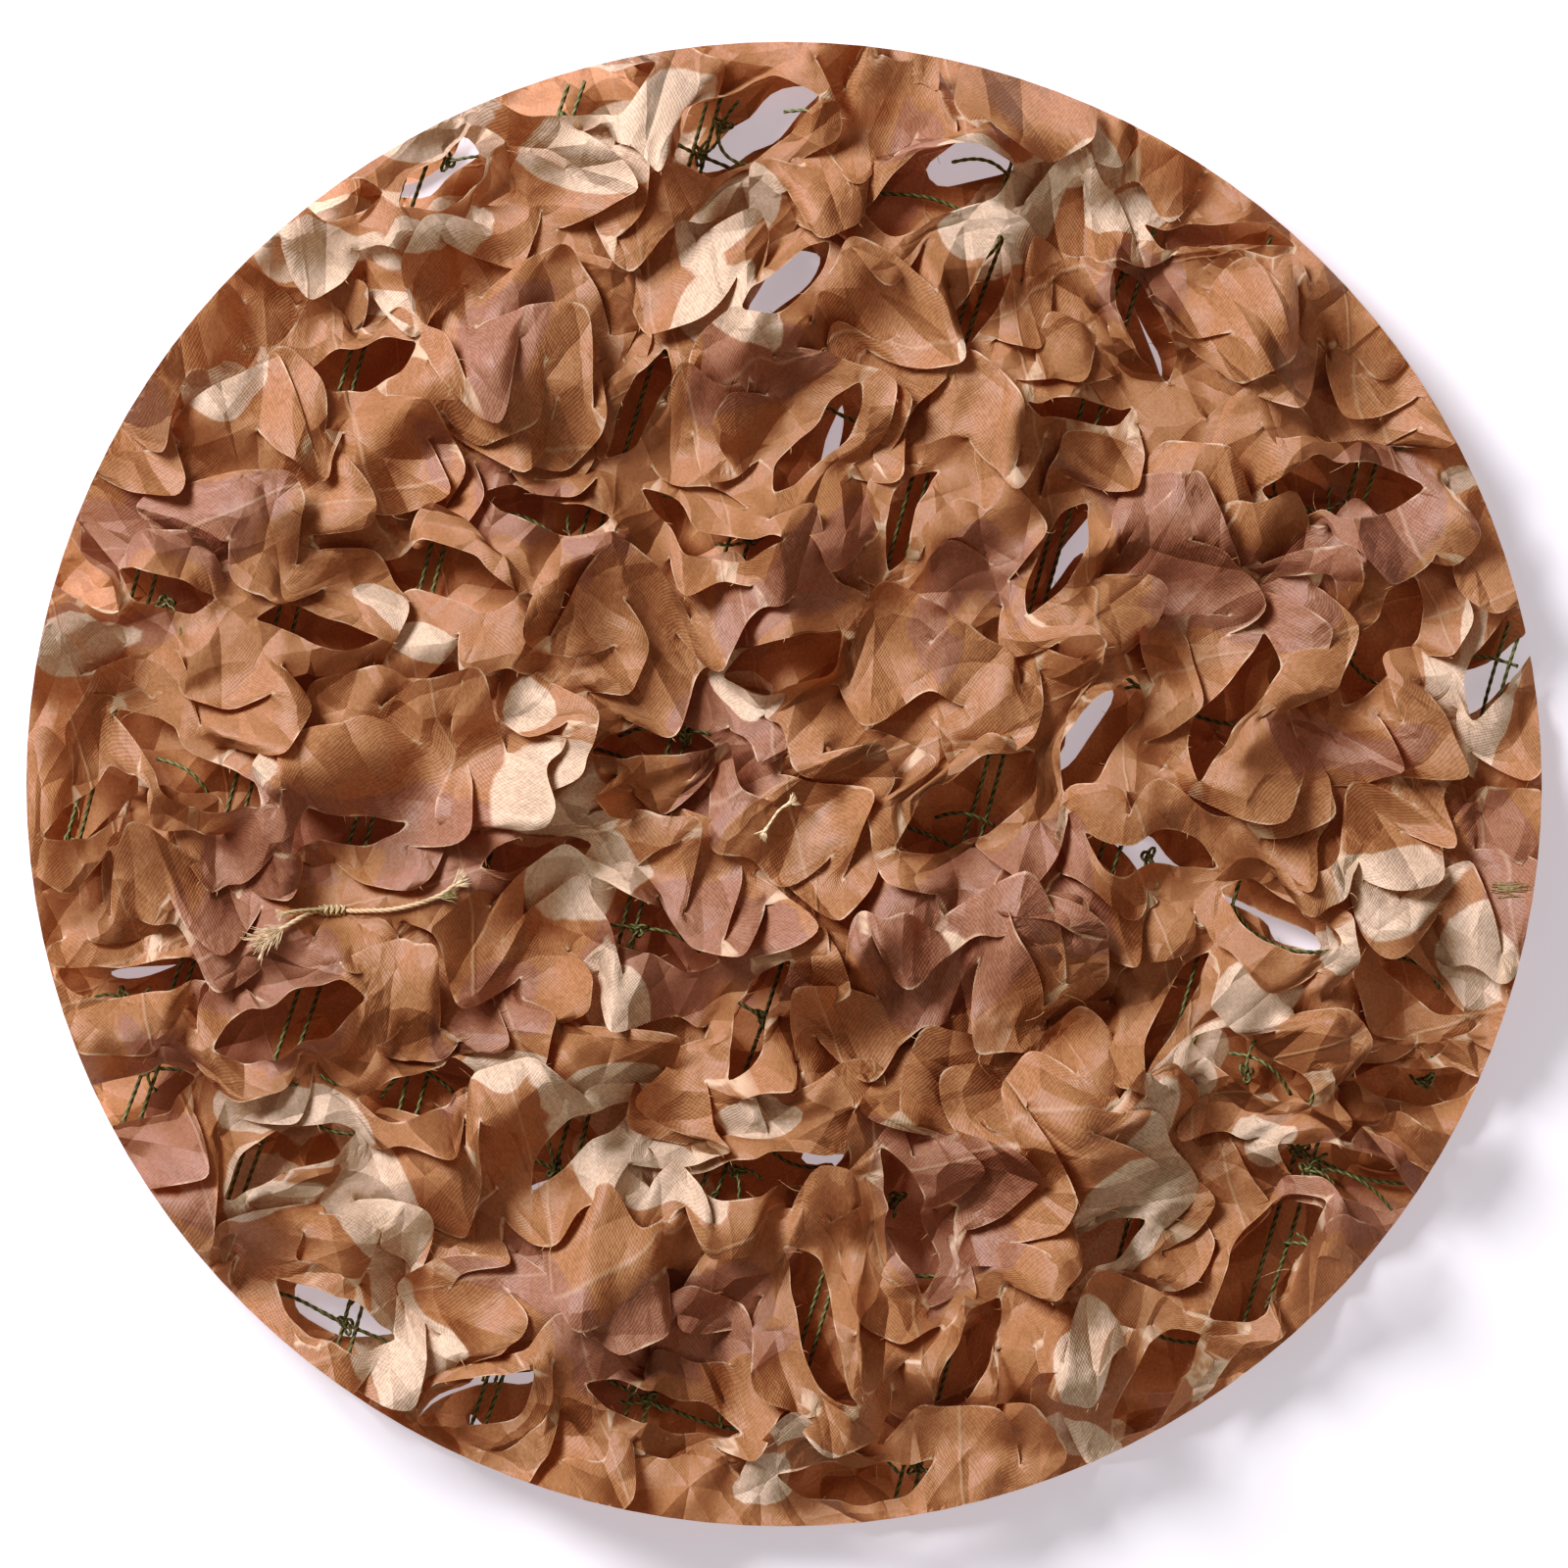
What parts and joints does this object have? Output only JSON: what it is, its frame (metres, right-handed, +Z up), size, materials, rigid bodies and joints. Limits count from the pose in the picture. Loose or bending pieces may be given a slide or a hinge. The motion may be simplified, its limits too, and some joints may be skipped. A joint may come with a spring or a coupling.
{
  "type": "camouflage net",
  "caption": "Cut length of garnished camouflage net: two sheets of slit, curling cloth tied to a knotted cord mesh, laid out flat.",
  "frame": {"origin": "under the middle of the round cut, on the surface that the lower cloth lies on", "axes": "+Z up out of the cloth, +X along the longer width of the cut, the cross cords running near X and the main pairs leaning from Y"},
  "size_m": [0.5413, 0.53, 0.0507],
  "materials": {
    "top_cloth": "printed woven cloth, slight sheen",
    "under_cloth": "printed woven cloth, dull",
    "net_cord": "twisted olive-green cord",
    "tie_cotton": "twisted tan cotton string"
  },
  "bodies": {
    "root": {"lower_cloth": "under_cloth", "mesh_net": "net_cord", "upper_cloth": "top_cloth", "tie_knot": "tie_cotton", "tie_tail_right": "tie_cotton", "tie_tail_left": "tie_cotton", "tie_end": "tie_cotton"}
  },
  "joints": []
}
